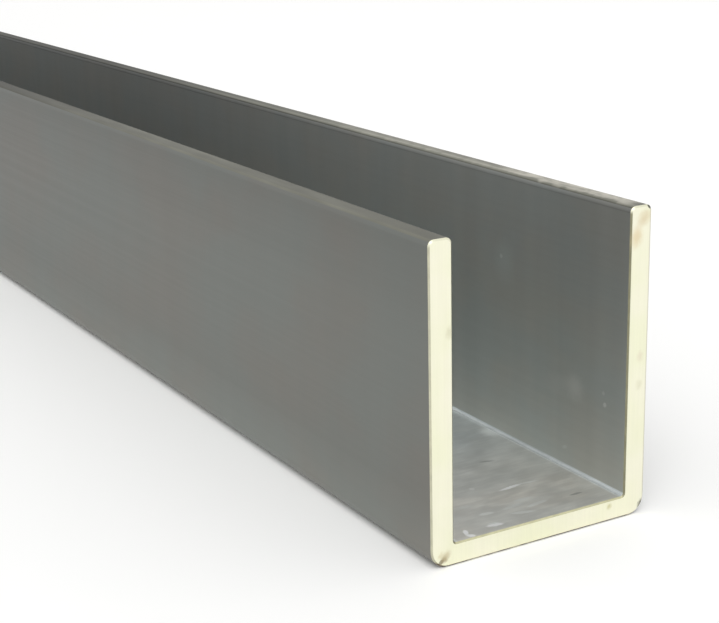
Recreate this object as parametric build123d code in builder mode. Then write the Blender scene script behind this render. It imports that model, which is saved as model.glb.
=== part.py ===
# Aluminium U channel, extruded in one piece and sawn to a stock length.
#
# The channel lies on its web with the open side up. X runs along the length, Y across
# the web and Z up the legs. The origin is on the web's underside, halfway along the
# length and halfway between the legs.
#
# The section is a flat web with a plain leg at each side. The die rounds the two outer
# corners and both edges of each lip, and leaves a fine fillet in each corner of the
# groove. The ends are sawn square and their edges broken with a file.

import os

from build123d import *

# Driving dimensions, in millimetres
stock_length = 1000.0
leg_height = 50.0  # from the web's underside to the lips
web_width = 40.0  # over the outer faces of both legs
leg_wall = 4.0
web_wall = 3.5
outer_corner_radius = 3.0  # where each leg turns into the web, outside
groove_corner_radius = 0.5  # the fillet inside the same corner
lip_radius = 1.0  # both edges of each leg's lip
sawn_edge_break = 0.25  # filed round both sawn ends

groove_width = web_width - 2 * leg_wall
groove_depth = leg_height - web_wall

# The two round edges of a lip take at most nine tenths of its wall, and the file
# takes off less than the die rounded
lip_edge_radius = min(lip_radius, 0.45 * leg_wall)
end_break = min(sawn_edge_break, lip_edge_radius / 2)

with BuildPart() as channel:
    # The die's opening, drawn in the plane of one sawn end
    with BuildSketch(Plane.YZ.offset(-stock_length / 2)) as section:
        Rectangle(web_width, leg_height, align=(Align.CENTER, Align.MIN))
        with Locations((0, web_wall)):
            Rectangle(
                groove_width,
                groove_depth,
                align=(Align.CENTER, Align.MIN),
                mode=Mode.SUBTRACT,
            )
        # The section's corners lie in three rows: underside, groove floor and lips
        fillet(section.vertices().group_by(Axis.Y)[1], groove_corner_radius)
        fillet(section.vertices().group_by(Axis.Y)[0], outer_corner_radius)
        fillet(section.vertices().group_by(Axis.Y)[-1], lip_edge_radius)
    extrude(amount=stock_length)

    sawn_ends = channel.faces().filter_by(Axis.X)
    chamfer(sawn_ends.edges(), length=end_break)

channel.part.label = "u_channel"

os.makedirs("parts", exist_ok=True)
export_step(channel.part, "parts/u_channel.step")
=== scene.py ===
import math

import bmesh
import bpy
from mathutils import Euler, Matrix, Vector


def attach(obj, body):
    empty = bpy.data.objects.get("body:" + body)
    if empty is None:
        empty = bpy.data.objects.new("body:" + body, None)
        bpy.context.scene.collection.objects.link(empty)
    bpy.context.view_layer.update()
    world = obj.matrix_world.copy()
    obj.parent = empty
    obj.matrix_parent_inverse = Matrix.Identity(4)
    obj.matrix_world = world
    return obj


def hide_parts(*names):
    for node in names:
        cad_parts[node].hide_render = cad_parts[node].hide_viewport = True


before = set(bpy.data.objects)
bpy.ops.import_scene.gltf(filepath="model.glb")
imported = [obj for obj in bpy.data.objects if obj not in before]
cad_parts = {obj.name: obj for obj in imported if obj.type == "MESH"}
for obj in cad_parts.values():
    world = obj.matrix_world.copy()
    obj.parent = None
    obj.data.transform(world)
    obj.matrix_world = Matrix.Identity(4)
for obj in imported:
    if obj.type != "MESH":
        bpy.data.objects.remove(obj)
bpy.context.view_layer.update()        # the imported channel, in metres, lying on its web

mm = 0.001


# Small helpers

def linear(hexColour):
    # an sRGB hex value as the linear colour that a socket takes
    parts = [int(hexColour[i:i + 2], 16) / 255 for i in (1, 3, 5)]
    return [c / 12.92 if c <= 0.04045 else ((c + 0.055) / 1.055) ** 2.4 for c in parts] + [1.0]


def addNode(tree, kind, settings=None, inputs=None):
    # inputs maps a socket's name or number to a value, or to the output that feeds it
    made = tree.nodes.new(kind)
    for name, value in (settings or {}).items():
        setattr(made, name, value)
    for name, value in (inputs or {}).items():
        if isinstance(value, bpy.types.NodeSocket):
            tree.links.new(value, made.inputs[name])
        else:
            made.inputs[name].default_value = value
    return made


def newMaterial(name):
    material = bpy.data.materials.new(name)
    material.use_nodes = True
    material.node_tree.nodes.clear()
    return material, material.node_tree


def pick(piece, kind, test):
    # in edit mode: selects the verts, edges or faces that pass the test, and nothing else
    bpy.ops.mesh.select_mode(type={"verts": "VERT", "edges": "EDGE", "faces": "FACE"}[kind])
    bpy.ops.mesh.select_all(action="DESELECT")
    shape = bmesh.from_edit_mesh(piece.data)
    for item in getattr(shape, kind):
        if test(item):
            item.select_set(True)
    shape.select_flush_mode()
    bmesh.update_edit_mesh(piece.data)


# The view: the photo's viewing angle, its frame 719 by 623 pixels

view = {
    "azimuth": 60.07,  # degrees; 0 looks along +Y
    "elevation": 16.38,
    "roll": -1.35,
    "focalPixels": 1565.3,
    "frameWidth": 719,
    "sensorWidth": 36.0,  # mm
    "place": (677.03, -133.11, 101.76),
    "nearest": 10.0,  # nothing nearer to the camera than this is drawn
}


def addCamera():
    data = bpy.data.cameras.new("camera")
    data.sensor_width = view["sensorWidth"]
    data.lens = view["focalPixels"] / view["frameWidth"] * data.sensor_width
    data.clip_start = view["nearest"] * mm
    camera = bpy.data.objects.new("camera", data)
    bpy.context.scene.collection.objects.link(camera)
    turn = Euler((math.radians(90 - view["elevation"]), 0, math.radians(view["azimuth"]))).to_matrix()
    roll = Matrix.Rotation(math.radians(view["roll"]), 3, "Z")
    facing = (turn @ roll).to_quaternion()
    camera.matrix_world = Matrix.LocRotScale(Vector(view["place"]) * mm, facing, None)
    bpy.context.scene.camera = camera


addCamera()
print("camera set")

# The studio: a white floor that runs out of sight, an even sky and one large soft lamp

studio = {
    "floorColour": "#FBFBFA",
    "floorRoughness": 0.9,
    "floorGloss": 0.1,
    "floorSize": 12.0,  # metres
    "skyForDiffuse": 0.88,
    "lampPlace": (2.4, -1.2, 3.2),  # metres
    "lampSize": 2.4,
    "lampPower": 50.0,
}


def addStudio():
    bpy.ops.object.select_all(action="DESELECT")
    bpy.ops.mesh.primitive_plane_add(size=studio["floorSize"], location=(0, 0, 0))
    floor = bpy.context.object
    floor.name = "studioFloor"
    material, tree = newMaterial("whitePaper")
    shader = addNode(tree, "ShaderNodeBsdfPrincipled", None, {
        "Base Color": linear(studio["floorColour"]), "Roughness": studio["floorRoughness"],
        "Specular IOR Level": studio["floorGloss"],
    })
    addNode(tree, "ShaderNodeOutputMaterial", None, {"Surface": shader.outputs[0]})
    floor.data.materials.append(material)

    # white where the camera or a reflection sees it, a little softer as a light
    world = bpy.data.worlds.new("studioSky")
    bpy.context.scene.world = world
    world.use_nodes = True
    tree = world.node_tree
    tree.nodes.clear()
    rays = addNode(tree, "ShaderNodeLightPath")
    seen = addNode(tree, "ShaderNodeMath", {"operation": "MAXIMUM"}, {
        0: rays.outputs["Is Camera Ray"], 1: rays.outputs["Is Glossy Ray"],
    })
    seen = addNode(tree, "ShaderNodeMath", {"operation": "MAXIMUM"}, {
        0: seen.outputs[0], 1: rays.outputs["Is Transmission Ray"],
    })
    strength = addNode(tree, "ShaderNodeMapRange", None, {
        "Value": seen.outputs[0], "To Min": studio["skyForDiffuse"], "To Max": 1.0,
    })
    sky = addNode(tree, "ShaderNodeBackground", None, {
        "Color": (1, 1, 1, 1), "Strength": strength.outputs[0],
    })
    addNode(tree, "ShaderNodeOutputWorld", None, {"Surface": sky.outputs[0]})

    data = bpy.data.lights.new("softLamp", "AREA")
    data.shape = "SQUARE"
    data.size = studio["lampSize"]
    data.energy = studio["lampPower"]
    lamp = bpy.data.objects.new("softLamp", data)
    bpy.context.scene.collection.objects.link(lamp)
    lamp.location = studio["lampPlace"]
    lamp.rotation_euler = (-lamp.location).to_track_quat("-Z", "Y").to_euler()
    bpy.context.scene.view_settings.view_transform = "Standard"


addStudio()
print("studio set")

# The channel: one extrusion, drawn as the die's opening and pulled to its stock length

channel = {
    "length": 1000.0,  # mm
    "height": 50.0,
    "width": 40.0,
    "legWall": 4.0,
    "webWall": 3.5,
    "outerCorner": 3.0,
    "grooveCorner": 0.5,
    "lipEdge": 1.0,
    "endBreak": 0.25,  # filed round both sawn ends
    "outerSteps": 10,
    "grooveSteps": 4,
    "lipSteps": 6,
    "smoothAngle": 20.0,  # degrees; faces that meet at less are shaded as one
    "nearZone": 60.0,  # the length behind the near sawn end that has marks of its own
}
halfLength = channel["length"] / 2
halfWidth = channel["width"] / 2
grooveSide = halfWidth - channel["legWall"]  # the groove's wall, from the middle


def near(value, wanted, slack=0.02):
    return abs(value - wanted * mm) < slack * mm


def roundCorners(piece, height, size, steps):
    # rounds the section's corners that lie at one height, while it is still flat
    pick(piece, "verts", lambda v: near(v.co.z, height))
    bpy.ops.mesh.bevel(offset=size * mm, segments=steps, affect="VERTICES", clamp_overlap=False)


def addChannel():
    # a flat sheet at the near end, as high and wide as the section
    bpy.ops.object.select_all(action="DESELECT")
    bpy.ops.mesh.primitive_plane_add(
        size=mm, location=(halfLength * mm, 0, channel["height"] / 2 * mm), rotation=(0, math.pi / 2, 0)
    )
    piece = bpy.context.object
    piece.name = "uChannel"
    bpy.ops.object.mode_set(mode="EDIT")
    bpy.ops.transform.resize(value=(1, channel["width"], channel["height"]))
    bpy.ops.object.mode_set(mode="OBJECT")
    bpy.ops.object.transform_apply(location=True, rotation=True, scale=True)

    # the groove is cut out of the flat section, and what is left is joined to one face
    bpy.ops.object.mode_set(mode="EDIT")
    cuts = [
        ((0, -grooveSide, 0), (0, 1, 0)),
        ((0, grooveSide, 0), (0, 1, 0)),
        ((0, 0, channel["webWall"]), (0, 0, 1)),
    ]
    for place, normal in cuts:
        bpy.ops.mesh.select_all(action="SELECT")
        bpy.ops.mesh.bisect(plane_co=Vector(place) * mm, plane_no=normal)
    pick(piece, "faces", lambda f: abs(f.calc_center_median().y) < grooveSide * mm
         and f.calc_center_median().z > channel["webWall"] * mm)
    bpy.ops.mesh.delete(type="FACE")
    bpy.ops.mesh.select_all(action="SELECT")
    bpy.ops.mesh.dissolve_limited(angle_limit=math.radians(1))

    roundCorners(piece, channel["webWall"], channel["grooveCorner"], channel["grooveSteps"])
    roundCorners(piece, 0, channel["outerCorner"], channel["outerSteps"])
    roundCorners(piece, channel["height"], channel["lipEdge"], channel["lipSteps"])

    bpy.ops.mesh.select_all(action="SELECT")
    bpy.ops.mesh.extrude_region_move(TRANSFORM_OT_translate={"value": (-channel["length"] * mm, 0, 0)})
    # both corners of an end's edge lie on that end, so their X adds up to the whole length
    wholeLength = (channel["length"] - 1) * mm
    pick(piece, "edges", lambda e: abs(e.verts[0].co.x + e.verts[1].co.x) > wholeLength)
    bpy.ops.mesh.bevel(offset=channel["endBreak"] * mm, segments=1, affect="EDGES", clamp_overlap=False)
    bpy.ops.mesh.select_all(action="SELECT")
    bpy.ops.mesh.bisect(plane_co=((halfLength - channel["nearZone"]) * mm, 0, 0), plane_no=(1, 0, 0))
    bpy.ops.mesh.select_all(action="SELECT")
    bpy.ops.mesh.normals_make_consistent(inside=False)
    bpy.ops.object.mode_set(mode="OBJECT")
    bpy.ops.object.shade_smooth_by_angle(angle=math.radians(channel["smoothAngle"]))
    # the flats keep their own normals beside the roundings
    bpy.ops.object.modifier_add(type="WEIGHTED_NORMAL")
    piece.modifiers[-1].keep_sharp = True
    bpy.ops.object.modifier_apply(modifier=piece.modifiers[-1].name)
    return piece


def cornerOf(place):
    # a corner of the section, as its Y and Z in mm
    return round(place.y / mm, 2), round(place.z / mm, 2)


def aroundSection(mesh):
    # how far round the section each of its corners lies in mm, from one edge of the underside
    ring = halfLength - channel["nearZone"]
    beside = {}
    for edge in mesh.edges:
        first, second = (mesh.vertices[i].co for i in edge.vertices)
        if near(first.x, ring) and near(second.x, ring):
            beside.setdefault(cornerOf(first), []).append(cornerOf(second))
            beside.setdefault(cornerOf(second), []).append(cornerOf(first))
    here = min(beside, key=lambda corner: (corner[1], corner[0]))
    last = None
    gone = 0.0
    places = {}
    while here not in places:
        places[here] = gone
        # the first step goes up the near leg, and from then on only one way is left
        onward = min(corner for corner in beside[here] if corner != last)
        gone += math.dist(here, onward)
        here, last = onward, here
    return places, gone


# Where the parts of the surface lie on its map, as shares of the map's side
mapLayout = {
    "skin": (0.01, 0.72),  # the section's outline, unrolled
    "far": (0.01, 0.69),  # the length up to the near zone
    "near": (0.69, 0.99),  # the near zone, drawn larger for its marks
    "ends": (0.74, 0.99),  # the sawn ends, across
    "nearEnd": (0.01, 0.32),  # and up
    "farEnd": (0.36, 0.67),
}


def onMap(span, share):
    low, high = mapLayout[span]
    return low + (high - low) * share


def addMap(piece):
    # a flat map of the surface: the skin unrolled to one sheet, with both sawn ends beside it
    places, total = aroundSection(piece.data)
    farLength = channel["length"] - channel["nearZone"]
    sheet = piece.data.uv_layers.new(name="OFBake")
    for face in piece.data.polygons:
        corners = [piece.data.vertices[i].co for i in face.vertices]
        spots = []
        if abs(face.normal.x) > 0.2:  # a sawn end or its filed edge
            end = "nearEnd" if face.center.x > 0 else "farEnd"
            for corner in corners:
                up = corner.z / mm / channel["height"]
                across = corner.y / mm / channel["width"] + 0.5
                spots.append((onMap(end, up), onMap("ends", across)))
        else:
            gone = [places[cornerOf(c)] for c in corners]
            if max(gone) - min(gone) > total / 2:  # the face that closes the ring
                gone = [g if g > total / 2 else g + total for g in gone]
            isFar = face.center.x / mm + halfLength < farLength
            for corner, distance in zip(corners, gone):
                fromFar = corner.x / mm + halfLength
                if isFar:
                    along = onMap("far", fromFar / farLength)
                else:
                    along = onMap("near", (fromFar - farLength) / channel["nearZone"])
                spots.append((along, onMap("skin", distance / total)))
        for loop, spot in zip(face.loop_indices, spots):
            sheet.data[loop].uv = spot


channelPiece = addChannel()
addMap(channelPiece)
print("channel modelled:", len(channelPiece.data.polygons), "faces")

# Finishes. Their sizes and places are in millimetres on the piece's own Object coordinates: X from
# mid-length, Y from the groove's middle and Z from the underside. A pattern has the size of its
# features along X, Y and Z. A step is an axis, two places on it and the amount at each of them. Over
# a pattern it has no axis, and its places are two of the pattern's values, which lie about 0.5.

nearCut = halfLength
lips = channel["height"]

# Marks: from and to in mm, X counted back from the near sawn end, then width, colour and strength
floorMarks = [
    ((-12.4, 0.6, 3.5), (-13.0, 5.8, 3.5), 0.5, "#FFFFFF", 1.0),  # the long bright scratch
    ((-13.0, 5.0, 3.5), (-12.6, 9.0, 3.5), 0.35, "#F4F5F3", 0.6),
    ((-3.1, -12.1, 3.5), (-1.3, -12.8, 3.5), 0.5, "#FFFFFF", 1.0),  # the hooked mark by the near leg
    ((-1.3, -12.9, 3.5), (-0.6, -11.9, 3.5), 0.6, "#FFFFFF", 1.0),
    ((-2.3, -8.7, 3.5), (-1.9, -5.7, 3.5), 0.6, "#FFFFFF", 0.9),
    ((-2.9, -8.2, 3.5), (-2.5, -5.9, 3.5), 0.45, "#F0F2F0", 0.6),
    ((-6.4, -7.2, 3.5), (-6.1, -4.6, 3.5), 0.6, "#F0F2F0", 0.6),
    ((-4.2, -3.0, 3.5), (-3.0, 1.4, 3.5), 0.6, "#F0F2F0", 0.6),
    ((-6.1, -3.2, 3.5), (-6.5, 1.4, 3.5), 0.55, "#ECEEEC", 0.5),
    ((-7.8, 0.2, 3.5), (-7.7, 4.3, 3.5), 0.6, "#ECEEEC", 0.5),
    ((-4.8, 0.5, 3.5), (-5.6, 5.5, 3.5), 0.6, "#F0F2F0", 0.6),
    ((-10.2, -9.8, 3.5), (-10.0, -5.4, 3.5), 0.9, "#E4E6E3", 0.5),
    ((-7.0, -1.5, 3.5), (-6.4, 7.0, 3.5), 1.6, "#E4E6E3", 0.45),
    ((-4.9, 9.1, 3.5), (-4.9, 11.6, 3.5), 0.4, "#9A9C99", 0.6),
    ((-24.4, 4.9, 3.5), (-23.4, 7.8, 3.5), 0.35, "#A3A5A3", 0.55),
    ((-37.0, 14.6, 3.5), (-32.4, 15.4, 3.5), 2.8, "#F6FAFA", 0.9),  # the pale bloom by the corner
    ((-33.5, 5.6, 3.5), (-32.0, 7.2, 3.5), 3.4, "#DDE2E2", 0.5),
    ((-15.6, -2.5, 3.5), (-15.4, -2.1, 3.5), 0.6, "#F4F5F3", 0.4),
]
wallMarks = [
    ((-5.6, 16, 18.8), (-5.6, 16, 19.2), 0.45, "#E4E6E2", 0.25),
    ((-5.2, 16, 16.9), (-5.2, 16, 17.4), 0.5, "#EDEFEB", 0.4),
    ((-15.9, 16, 6.6), (-14.6, 16, 7.1), 0.35, "#DDE2E0", 0.3),
    ((-14.2, 16, 17.6), (-11.6, 16, 18.2), 3.2, "#CFD1CC", 0.55),
    ((-22.0, 16, 16.6), (-12.5, 16, 18.0), 2.4, "#C6C8C4", 0.3),
    ((-33.6, 16, 35.3), (-33.3, 16, 35.7), 0.5, "#D0D3CF", 0.6),
    ((-33.0, 16, 31.0), (-32.4, 16, 38.0), 4.0, "#B9C0BE", 0.35),
    ((-32.8, 16, 20.0), (-32.4, 16, 27.0), 3.0, "#B9BDBA", 0.3),
]
cutMarks = [
    ((0, 19.6, 48.9), (0, 17.4, 47.0), 1.5, "#D9C9A6", 0.6),  # tan stain on the far leg
    ((0, 17.4, 46.8), (0, 16.9, 43.6), 1.6, "#DECBA2", 0.6),
    ((0, -18.8, 0.7), (0, -17.9, 1.3), 0.4, "#5C4B34", 0.6),  # nick and smudge in the near corner
    ((0, -18.4, 1.0), (0, -17.1, 1.5), 0.8, "#9C8A68", 0.7),
    ((0, -17.9, 1.3), (0, -16.8, 2.6), 0.9, "#C9BC9A", 0.6),
    ((0, -18.5, 1.4), (0, -18.1, 2.6), 0.7, "#D3C8A8", 0.5),
    ((0, 13.0, 2.4), (0, 13.2, 2.45), 0.7, "#CFCBA0", 0.8),
    ((0, -16.7, 35.2), (0, -16.6, 37.2), 0.9, "#D9D6BC", 0.6),
    ((0, 18.4, 25.2), (0, 18.5, 27.0), 0.9, "#E2DAC4", 0.5),
    ((0, 18.3, 20.8), (0, 18.4, 22.4), 0.9, "#DEDCC2", 0.5),
    ((0, 20.0, 2.4), (0, 18.9, 0.6), 0.75, "#2F2A1C", 1.0),  # a dark patch in the far bottom corner
    ((0, 19.2, 50.0), (0, 19.9, 49.4), 0.4, "#2B2620", 0.9),  # and at the far lip
]

# A mark narrower than this is a scratch with fairly crisp sides, and a wider one a smear
scratchWidth = 0.65
markKinds = {
    "scratch": {"sides": {"size": (0.6, 0.6, 0.6), "detail": 3.0}, "wander": 0.3, "softEdge": 0.5},
    "smear": {"sides": {"size": (0.9, 0.9, 0.9), "detail": 3.0}, "wander": 0.9, "softEdge": 0.9},
}


def startFinish(name):
    # a finish that knows its place in millimetres from the piece's own origin
    material, tree = newMaterial(name)
    coordinates = addNode(tree, "ShaderNodeTexCoord")
    place = addNode(tree, "ShaderNodeVectorMath", {"operation": "SCALE", "name": "place"}, {
        0: coordinates.outputs["Object"], "Scale": 1 / mm,
    })
    addNode(tree, "ShaderNodeSeparateXYZ", {"name": "axes"}, {0: place.outputs[0]})
    return material, tree


def grain(tree, size, detail=2.0, roughness=0.5, output="Fac"):
    # soft noise with features of the given size along X, Y and Z
    fitted = addNode(tree, "ShaderNodeVectorMath", {"operation": "DIVIDE"}, {
        0: tree.nodes["place"].outputs[0], 1: size,
    })
    noise = addNode(tree, "ShaderNodeTexNoise", None, {
        "Vector": fitted.outputs[0], "Scale": 1.0, "Detail": detail, "Roughness": roughness,
    })
    return noise.outputs[output]


def fade(tree, *steps):
    # a number that goes smoothly from 0 to 1, or from one amount to another, between two places;
    # several steps are multiplied
    product = None
    for value, start, stop, *amounts in steps:
        first, last = amounts or (0.0, 1.0)
        if isinstance(value, str):
            value = tree.nodes["axes"].outputs[value]
        step = addNode(tree, "ShaderNodeMapRange", {"interpolation_type": "SMOOTHSTEP"}, {
            "Value": value, "From Min": start, "From Max": stop, "To Min": first, "To Max": last,
        })
        if product is not None:
            step = addNode(tree, "ShaderNodeMath", {"operation": "MULTIPLY"}, {
                0: product, 1: step.outputs[0],
            })
        product = step.outputs[0]
    return product


def shaded(tree, colour, *steps):
    # the colour made lighter or darker by each step in turn
    for step in steps:
        made = addNode(tree, "ShaderNodeVectorMath", {"operation": "SCALE"}, {
            0: colour, "Scale": fade(tree, step),
        })
        colour = made.outputs[0]
    return colour


def tinted(tree, colour, tint, *steps):
    # another colour laid over the first, as far as the steps say
    made = addNode(tree, "ShaderNodeMix", {"data_type": "RGBA"}, {
        0: fade(tree, *steps), 6: colour, 7: linear(tint),
    })
    return made.outputs[2]


def withMarks(tree, colour, marks):
    # each mark is a long soft-edged spot with slightly ragged sides
    ragged = {}
    for kind, look in markKinds.items():
        moved = addNode(tree, "ShaderNodeVectorMath", {"operation": "MULTIPLY_ADD"}, {
            0: grain(tree, output="Color", **look["sides"]),
            1: [look["wander"]] * 3,
            2: tree.nodes["place"].outputs[0],
        })
        ragged[kind] = moved.outputs[0]
    for start, stop, width, tint, strength in marks:
        start, stop = Vector(start), Vector(stop)
        kind = "scratch" if width < scratchWidth else "smear"
        drift = markKinds[kind]["wander"] / 2
        middle = (start + stop) / 2 + Vector((nearCut + drift, drift, drift))
        reach = max((stop - start).length, width) / 2 + width / 2
        turn = (stop - start).to_track_quat("X", "Z").to_euler()
        spot = addNode(tree, "ShaderNodeMapping", {"vector_type": "TEXTURE"}, {
            "Vector": ragged[kind], "Location": middle, "Rotation": turn, "Scale": (reach, width, width),
        })
        soft = addNode(tree, "ShaderNodeTexGradient", {"gradient_type": "SPHERICAL"}, {
            0: spot.outputs[0],
        })
        step = (soft.outputs["Fac"], 0, markKinds[kind]["softEdge"], 0, strength)
        colour = tinted(tree, colour, tint, step)
    return colour


def endFinish(tree, colour, roughness, height=None, depth=0.0):
    shader = addNode(tree, "ShaderNodeBsdfPrincipled", None, {
        "Base Color": colour, "Roughness": roughness, "Metallic": 1.0,
    })
    if height is not None:
        bump = addNode(tree, "ShaderNodeBump", None, {"Height": height, "Distance": depth * mm})
        tree.links.new(bump.outputs[0], shader.inputs["Normal"])
    addNode(tree, "ShaderNodeOutputMaterial", None, {"Surface": shader.outputs[0]})


# Mill-finish aluminium as the die leaves it: satin, with faint lines drawn along the length

legLook = {
    "cool": "#767975",
    "warm": "#787772",
    "clouds": {"size": (30, 16, 22), "detail": 3.0},
    "warmClouds": (0.35, 0.65),
    "dieLines": {"size": (260, 0.7, 0.7), "detail": 4.0, "roughness": 0.65},
    # the lines are finer on the real one, and are drawn as coarse as they need to show
    "lineShade": (0.3, 0.7, 0.993, 1.007),
    "lineRoughness": (0.3, 0.7, 0.44, 0.48),
    "lineDepth": 0.0025,
    "chatter": {"size": (7, 400, 400)},  # faint bands across the bar
    "chatterShade": (0.3, 0.7, 0.99, 1.01),
    # the rows below are painted light and shade along the leg
    "paintedShades": [
        ("Z", 0, lips, 1.12, 0.96),  # painted light: paler low down, by the white floor
        ("Z", 0, 13, 1.23, 1.0),
        ("Z", lips - 16, lips, 1.0, 0.9),
        ("Z", lips - 1.05, lips - 0.7, 1.0, 1.12),  # painted highlight on the lip's rounding
        ("X", nearCut - 250, nearCut - 20, 0.85, 0.99),  # painted shade: darker far back
    ],
}


def legFinish():
    material, tree = startFinish("millFinishLeg")
    clouds = grain(tree, **legLook["clouds"])
    colour = tinted(tree, linear(legLook["cool"]), legLook["warm"], (clouds, *legLook["warmClouds"]))
    colour = shaded(tree, colour, *legLook["paintedShades"])
    lines = grain(tree, **legLook["dieLines"])
    chatter = grain(tree, **legLook["chatter"])
    colour = shaded(tree, colour, (lines, *legLook["lineShade"]), (chatter, *legLook["chatterShade"]))
    roughness = fade(tree, (lines, *legLook["lineRoughness"]))
    endFinish(tree, colour, roughness, lines, legLook["lineDepth"])
    return material


# The groove's walls: the same drawn metal, duller, painted paler than the legs against the groove's
# shade, and with painted light paler still towards the floor

wallLook = {
    # pale base colours: painted light against the groove's shade
    "cool": "#A2A6A3",
    "warm": "#A5A6A1",
    "clouds": {"size": (16, 16, 13), "detail": 3.0},
    "warmClouds": (0.35, 0.65),
    "dieLines": {"size": (260, 0.9, 0.9), "detail": 3.0, "roughness": 0.6},  # coarse, as on the legs
    "lineShade": (0.3, 0.7, 0.99, 1.01),
    "lineDepth": 0.003,
    "chatter": {"size": (5, 400, 400)},
    "chatterShade": (0.3, 0.7, 0.98, 1.02),
    "roughness": 0.65,
    "paintedHeightShade": (4, lips, 1.61, 0.8),  # painted light: paler low down, in a straight fall from 4 mm up to the lips
    "paintedLengthShade": ("X", nearCut - 205, nearCut - 5, 0.635, 1.03),  # painted shade: darker far back
    # painted shade on the lip's rounding, darker far back, and a little darker by the cut
    "lipRounding": ("Z", lips - 1.05, lips - 0.95),
    "paintedRoundingShade": ("X", nearCut - 160, nearCut - 38, 0.62, 0.8),
    "paintedCutShade": ("X", nearCut - 28, nearCut - 8, 1.0, 0.9),
}


def wallFinish():
    material, tree = startFinish("millFinishGrooveWall")
    clouds = grain(tree, **wallLook["clouds"])
    colour = tinted(tree, linear(wallLook["cool"]), wallLook["warm"], (clouds, *wallLook["warmClouds"]))
    # painted light: the wall made paler towards the floor, then painted shade along the length
    lowest, highest, atLowest, atHighest = wallLook["paintedHeightShade"]
    height = addNode(tree, "ShaderNodeMapRange", None, {
        "Value": tree.nodes["axes"].outputs["Z"], "From Min": lowest, "From Max": highest,
        "To Min": atLowest, "To Max": atHighest,
    })
    paler = addNode(tree, "ShaderNodeVectorMath", {"operation": "SCALE"}, {
        0: colour, "Scale": height.outputs[0],
    })
    rounding = (*wallLook["lipRounding"], 1.0, fade(tree, wallLook["paintedRoundingShade"]))
    colour = shaded(tree, paler.outputs[0], wallLook["paintedLengthShade"], rounding, wallLook["paintedCutShade"])
    lines = grain(tree, **wallLook["dieLines"])
    chatter = grain(tree, **wallLook["chatter"])
    colour = shaded(tree, colour, (lines, *wallLook["lineShade"]), (chatter, *wallLook["chatterShade"]))
    colour = withMarks(tree, colour, wallMarks)
    endFinish(tree, colour, wallLook["roughness"], lines, wallLook["lineDepth"])
    return material


# The groove's floor: scuffed across by what lay in it, painted paler than the legs against the groove's
# shade, with a band of painted highlight beside each corner

floorLook = {
    # pale base colours: painted light against the groove's shade
    "colour": "#DBDDDA",
    "cool": "#CFD5D6",
    "warm": "#E3E0D9",
    "warmSide": ("X", nearCut - 45, nearCut - 3),  # warmer behind the near cut
    "clouds": {"size": (9, 14, 10), "detail": 3.0},
    "cloudStrength": (0.35, 0.65, 0, 0.6),
    "scuffs": {"size": (0.8, 4.5, 5), "detail": 3.0, "roughness": 0.55},
    "scuffShade": (0.35, 0.75, 0.965, 1.06),
    "scuffRoughness": (0.3, 0.7, 0.52, 0.58),
    "scuffDepth": 0.003,
    "patches": {"size": (5, 7, 5)},
    "patchShade": (0.3, 0.7, 0.92, 1.05),
    # the painted highlight beside the corner begins nearer the corner by the cut, and is strongest there
    "highlightInside": ("X", nearCut - 60, nearCut - 30, grooveSide - 2.6, grooveSide - 1.1),
    "highlightOutside": grooveSide - 0.5,
    "highlightStrength": ("X", nearCut - 30, nearCut - 4, 0.4, 0.55),
}


def floorFinish():
    material, tree = startFinish("scuffedGrooveFloor")
    colour = tinted(tree, linear(floorLook["cool"]), floorLook["warm"], floorLook["warmSide"])
    clouds = grain(tree, **floorLook["clouds"])
    colour = tinted(tree, colour, floorLook["colour"], (clouds, *floorLook["cloudStrength"]))
    scuffs = grain(tree, **floorLook["scuffs"])
    patches = grain(tree, **floorLook["patches"])
    colour = shaded(tree, colour, (scuffs, *floorLook["scuffShade"]), (patches, *floorLook["patchShade"]))
    colour = withMarks(tree, colour, floorMarks)
    fromMiddle = addNode(tree, "ShaderNodeMath", {"operation": "ABSOLUTE"}, {
        0: tree.nodes["axes"].outputs["Y"],
    })
    # painted highlight: a pale band along the floor beside each corner
    line = (fromMiddle.outputs[0], fade(tree, floorLook["highlightInside"]), floorLook["highlightOutside"])
    colour = tinted(tree, colour, cornerLook["colour"], line, floorLook["highlightStrength"])
    roughness = fade(tree, (scuffs, *floorLook["scuffRoughness"]))
    endFinish(tree, colour, roughness, scuffs, floorLook["scuffDepth"])
    return material


# The fillet in the groove's corner: a pale line of painted highlight

cornerLook = {
    # the painted highlight's colour
    "colour": "#F6FBFC",
    "worn": "#CFD5D6",
    "wear": {"size": (3, 1, 1), "detail": 3.0},
    "wearStrength": (0.3, 0.7, 0, 0.25),
    "roughness": 0.7,
    # painted highlight, shaped along the length and up the fillet
    "paintedShades": [
        ("X", nearCut - 50, nearCut - 25, 0.8, 0.66),
        ("X", nearCut - 25, nearCut - 3, 1.0, 1.1),
        ("Z", channel["webWall"] + 0.02, channel["webWall"] + 0.25, 0.88, 1.25),
    ],
}


def cornerFinish():
    material, tree = startFinish("burnishedGrooveCorner")
    wear = (grain(tree, **cornerLook["wear"]), *cornerLook["wearStrength"])
    colour = tinted(tree, linear(cornerLook["colour"]), cornerLook["worn"], wear)
    colour = shaded(tree, colour, *cornerLook["paintedShades"])
    endFinish(tree, colour, cornerLook["roughness"])
    return material


# The lips: a pale speckled band of painted highlight on the far leg behind the near cut, and painted
# shade along the length

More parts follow.
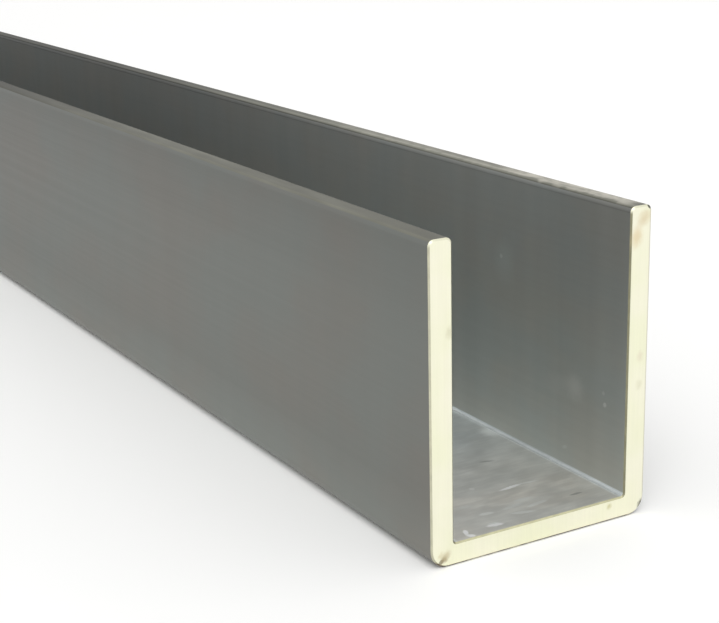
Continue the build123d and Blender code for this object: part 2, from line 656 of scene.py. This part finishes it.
lipLook = {
    # a darker base: painted shade on the lips' upward faces
    "colour": "#717168",
    "rubbed": "#BDBAAF",
    "roughness": 0.6,
    # painted shade along the length
    "paintedLengthShades": [
        ("X", nearCut - 230, nearCut - 80, 0.35, 1.0),
        ("X", nearCut - 440, nearCut - 260, 1.7, 1.0),
    ],
    # painted shade: on the far leg, the groove's side of the lip is darker, most of all far back
    "innerSide": ("Y", grooveSide + 0.7, grooveSide + 0.4),
    "paintedInnerShade": ("X", nearCut - 120, nearCut - 30, 0.45, 0.81),
    "paintedRidge": [  # painted highlight: a paler line where its flat begins
        ("Y", grooveSide + 0.3, grooveSide + 0.6),
        ("Y", grooveSide + 1.9, grooveSide + 1.3),
        ("X", nearCut - 130, nearCut - 30, 0.55, 1.0),
    ],
    "paintedRidgeShade": (0, 1, 1.0, 1.5),
    "paintedOuterShade": ("Y", 1.0 - halfWidth, 0.6 - halfWidth, 1.0, 1.3),  # painted light on the near leg's outer rounding
    # the painted highlight starts well back, is full over the last 30 mm and stops short of the cut
    "highlightBegins": ("X", nearCut - 115, nearCut - 70, 0, 0.4),
    "highlightFull": ("X", nearCut - 39, nearCut - 30),
    "highlightStops": ("X", nearCut, nearCut - 4),
    "highlightSide": (grooveSide + 0.6, grooveSide + 1.4),
    "raggedSide": {"size": (3.5, 40, 40), "detail": 3.0, "roughness": 0.6},
    "raggedReach": (0.3, 0.7, -0.45, 0.45),
    "speckle": {"size": (3.2, 1.6, 1.6), "roughness": 0.6},
    "speckleStrength": (0.3, 0.62, 0.5, 1.0),
    "speckleDepth": 0.003,
    "blotches": {"size": (14, 2, 2)},
    "blotchShade": (0.3, 0.7, 0.9, 1.1),
}


def lipFinish():
    material, tree = startFinish("rubbedLip")
    colour = shaded(tree, linear(lipLook["colour"])[:3], *lipLook["paintedLengthShades"])
    inner = fade(tree, (*lipLook["innerSide"], 1.0, fade(tree, lipLook["paintedInnerShade"])))
    farLegOnly = ("Y", 0, 1, 1.0, inner)
    paintedRidge = (fade(tree, *lipLook["paintedRidge"]), *lipLook["paintedRidgeShade"])
    colour = shaded(tree, colour, farLegOnly, paintedRidge, lipLook["paintedOuterShade"])

    ragged = fade(tree, (grain(tree, **lipLook["raggedSide"]), *lipLook["raggedReach"]))
    across = addNode(tree, "ShaderNodeMath", {"operation": "ADD"}, {
        0: tree.nodes["axes"].outputs["Y"], 1: ragged,
    })
    speckle = grain(tree, **lipLook["speckle"])
    # the far lip's painted highlight, speckled, with a ragged side
    wear = [
        (*lipLook["highlightFull"], fade(tree, lipLook["highlightBegins"]), 1.0),
        lipLook["highlightStops"],
        (across.outputs[0], *lipLook["highlightSide"]),
        (speckle, *lipLook["speckleStrength"]),
    ]
    colour = tinted(tree, colour, lipLook["rubbed"], *wear)
    colour = shaded(tree, colour, (grain(tree, **lipLook["blotches"]), *lipLook["blotchShade"]))
    endFinish(tree, colour, lipLook["roughness"], speckle, lipLook["speckleDepth"])
    return material


# The sawn ends: bright bare metal with the saw's fine marks and a warm cast

cutLook = {
    "colour": "#F0F0D8",
    "pale": "#F3F1DF",
    "clouds": {"size": (30, 9, 9)},
    "paleClouds": (0.35, 0.7),
    "sawMarks": {"size": (30, 0.4, 14), "detail": 3.0},
    # the saw's marks are finer on the real one, and are drawn as coarse as they need to show
    "sawShade": (0.3, 0.7, 0.985, 1.005),
    "sawDepth": 0.006,
    "rim": "#D2CFC0",
    "rimSide": ("Y", halfWidth - 0.5, halfWidth - 0.25),  # duller along the far leg's outer edge
    "roughness": 0.6,
}


def cutFinish():
    material, tree = startFinish("sawnAluminium")
    clouds = grain(tree, **cutLook["clouds"])
    colour = tinted(tree, linear(cutLook["colour"]), cutLook["pale"], (clouds, *cutLook["paleClouds"]))
    sawMarks = grain(tree, **cutLook["sawMarks"])
    colour = shaded(tree, colour, (sawMarks, *cutLook["sawShade"]))
    colour = tinted(tree, colour, cutLook["rim"], cutLook["rimSide"])
    colour = withMarks(tree, colour, cutMarks)
    endFinish(tree, colour, cutLook["roughness"], sawMarks, cutLook["sawDepth"])
    return material


# The filed edge round each cut: dull, with painted shade on the groove's side, and a dark broken line
# along the underside

edgeLook = {
    "outer": "#C4C2AC",
    # painted shade on the groove's side of the edge
    "groove": "#8E8C74",
    "grooveReach": (grooveSide + 1.0, grooveSide + 0.6),  # from the middle outwards
    "floor": "#C9C6A4",
    "floorReach": (grooveSide - 0.1, grooveSide - 0.4),
    "aboveWeb": ("Z", channel["webWall"] - 0.9, channel["webWall"] - 0.6),
    "lip": "#E0DFC8",
    "byLip": ("Z", lips - 1.2, lips - 0.6),
    "under": "#C0B9A2",
    "byUnder": ("Z", 1.4, 0.6),
    "uneven": {"size": (2, 1.4, 1.4), "detail": 3.0},
    "unevenShade": (0.3, 0.7, 0.93, 1.08),
    "darkLine": "#7A6C58",
    # the dark line comes in lengths of a few millimetres, with gaps between them
    "darkLineSpecks": {"size": (3, 2.6, 2.6), "detail": 3.0, "roughness": 0.6},
    "darkLineStrength": (0.42, 0.52),
    "roughness": 0.5,
}


def edgeFinish():
    material, tree = startFinish("filedEdge")
    fromMiddle = addNode(tree, "ShaderNodeMath", {"operation": "ABSOLUTE"}, {
        0: tree.nodes["axes"].outputs["Y"],
    })
    byGroove = (fromMiddle.outputs[0], *edgeLook["grooveReach"])
    byFloor = (fromMiddle.outputs[0], *edgeLook["floorReach"])
    colour = linear(edgeLook["outer"])
    colour = tinted(tree, colour, edgeLook["groove"], byGroove, edgeLook["aboveWeb"])
    colour = tinted(tree, colour, edgeLook["floor"], byFloor, edgeLook["aboveWeb"])
    colour = shaded(tree, colour, (grain(tree, **edgeLook["uneven"]), *edgeLook["unevenShade"]))
    colour = tinted(tree, colour, edgeLook["lip"], edgeLook["byLip"])
    colour = tinted(tree, colour, edgeLook["under"], edgeLook["byUnder"])
    # a dark broken line along the underside edge
    specks = (grain(tree, **edgeLook["darkLineSpecks"]), *edgeLook["darkLineStrength"])
    colour = tinted(tree, colour, edgeLook["darkLine"], edgeLook["byUnder"], specks)
    colour = withMarks(tree, colour, cutMarks)
    endFinish(tree, colour, edgeLook["roughness"])
    return material


def zoneOf(face):
    # which finish a face of the channel takes, by its place and the way it faces
    normal, place = face.normal, face.center / mm
    if abs(normal.x) > 0.9:
        return "cut"
    if abs(normal.x) > 0.2:
        return "edge"
    if place.z > channel["height"] - channel["lipEdge"]:
        if normal.z > 0.7:
            return "lip"
        return "leg" if place.y * normal.y > 0 else "wall"
    inside = abs(place.y) < grooveSide + 0.05 and place.z > channel["webWall"] - 0.05
    if not inside:
        return "leg"
    if abs(normal.y) > 0.99:
        return "wall"
    return "floor" if normal.z > 0.99 else "corner"


def dressChannel(piece):
    finishes = {
        "leg": legFinish(),
        "wall": wallFinish(),
        "floor": floorFinish(),
        "corner": cornerFinish(),
        "lip": lipFinish(),
        "cut": cutFinish(),
        "edge": edgeFinish(),
    }
    order = list(finishes)
    for name in order:
        piece.data.materials.append(finishes[name])
    for face in piece.data.polygons:
        face.material_index = order.index(zoneOf(face))


dressChannel(channelPiece)
print("channel dressed")

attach(channelPiece, "root")
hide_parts("u_channel")
